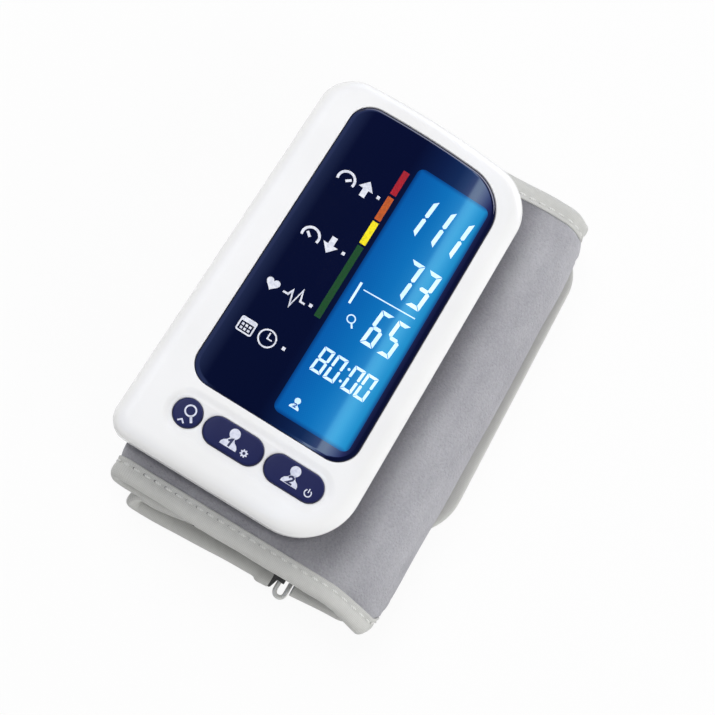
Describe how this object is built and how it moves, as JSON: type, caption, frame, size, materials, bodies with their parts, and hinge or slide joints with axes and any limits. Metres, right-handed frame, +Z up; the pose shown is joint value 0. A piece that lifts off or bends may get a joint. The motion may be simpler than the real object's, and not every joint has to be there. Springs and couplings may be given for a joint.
{
  "type": "blood pressure monitor",
  "caption": "Tubeless arm-cuff blood pressure monitor: a display housing with push buttons, clamped on a folded bladder cuff that closes through a ring.",
  "frame": {"origin": "middle of the footprint, on the surface that the folded cuff lies on", "axes": "+Z up out of the display, +Y up the display towards its far end, +X to the reader's right"},
  "size_m": [0.0994, 0.1476, 0.0457],
  "materials": {
    "face_white": "glossy white moulded plastic",
    "base_white": "satin white moulded plastic",
    "window_navy": "polished window, printed dark navy from behind",
    "button_navy": "navy moulded plastic with a soft sheen",
    "lcd_blue": "blue back-lit liquid crystal glass",
    "diffuser": "milky light guide",
    "board_green": "solder mask",
    "black_plastic": "black moulded plastic",
    "steel": "plated steel",
    "brass": "turned brass",
    "cell_jacket": "plain printed cell jacket",
    "silicone": "translucent silicone",
    "brushed_cloth": "grey brushed loop cloth",
    "lining_cloth": "smooth grey nylon lining",
    "edge_tape": "light grey folded edge tape",
    "hook_tape": "grey hook tape",
    "bladder_film": "welded plastic film",
    "ring_plastic": "light grey moulded ring"
  },
  "bodies": {
    "monitor": {"upper_shell": "face_white", "lower_shell": "base_white", "display_window": "window_navy", "lcd_glass": "lcd_blue", "backlight_guide": "diffuser", "lcd_holder": "diffuser", "circuit_board": "board_green", "memory_switch": "black_plastic", "first_user_switch": "black_plastic", "second_user_switch": "black_plastic", "controller_chip": "black_plastic", "pressure_sensor": "black_plastic", "buzzer": "black_plastic", "cell_1": "cell_jacket", "cell_2": "cell_jacket", "cell_3": "cell_jacket", "cell_4": "cell_jacket", "contact_spring_1": "steel", "contact_spring_2": "steel", "spring_contact_strip": "steel", "pump_motor": "steel", "pump_head": "black_plastic", "valve_body": "black_plastic", "air_tee": "black_plastic", "pump_hose": "silicone", "sensor_hose": "silicone", "valve_hose": "silicone", "shell_screw_1": "steel", "shell_screw_2": "steel", "shell_screw_3": "steel", "shell_screw_4": "steel", "cuff_outer_cloth": "brushed_cloth", "cuff_lining": "lining_cloth", "air_bladder": "bladder_film", "near_edge_binding": "edge_tape", "far_edge_binding": "edge_tape", "clamp_plate": "base_white", "clamp_screw_1": "steel", "clamp_screw_2": "steel", "clamp_screw_3": "steel", "clamp_screw_4": "steel", "air_nozzle": "black_plastic", "nozzle_seal": "silicone", "closing_ring": "ring_plastic", "ring_keeper": "edge_tape", "strap_fold": "brushed_cloth"},
    "memory_key": {"memory_button": "button_navy", "memory_plunger": "black_plastic"},
    "first_user_key": {"first_user_button": "button_navy", "first_user_plunger": "black_plastic"},
    "second_user_key": {"second_user_button": "button_navy", "second_user_plunger": "black_plastic"},
    "door": {"battery_door": "base_white", "door_contact_strip": "steel"},
    "cuff_tail": {"tail_cloth": "brushed_cloth", "tail_hook_patch": "hook_tape", "tail_rim_tape": "edge_tape"},
    "crank": {"pump_crank": "brass"},
    "release_plunger": {"valve_plunger": "brass"}
  },
  "joints": [
    {"name": "memory_press", "type": "slide", "parent": "monitor", "child": "memory_key", "axis": [0, 0, -1], "range_m": [0, 0.0008], "stiffness_N_per_m": 500, "springref_m": -0.0006},
    {"name": "first_user_press", "type": "slide", "parent": "monitor", "child": "first_user_key", "axis": [0, 0, -1], "range_m": [0, 0.0008], "stiffness_N_per_m": 500, "springref_m": -0.0006},
    {"name": "second_user_press", "type": "slide", "parent": "monitor", "child": "second_user_key", "axis": [0, 0, -1], "range_m": [0, 0.0008], "stiffness_N_per_m": 500, "springref_m": -0.0006},
    {"name": "door_slide", "type": "slide", "parent": "monitor", "child": "door", "axis": [0, 1, 0], "range_m": [0, 0.03]},
    {"name": "tail_peel", "type": "hinge", "parent": "monitor", "child": "cuff_tail", "pos_m": [0.02445, 0.01545, 0], "axis": [0, 1, 0], "range_deg": [0, 170]},
    {"name": "pump_turn", "type": "hinge", "parent": "monitor", "child": "crank", "pos_m": [-0.03675, -0.0132, 0.0333], "axis": [0, 1, 0], "continuous": true},
    {"name": "release_stroke", "type": "slide", "parent": "monitor", "child": "release_plunger", "axis": [0, -1, 0], "range_m": [0, 0.001], "stiffness_N_per_m": 300, "springref_m": -0.001}
  ]
}
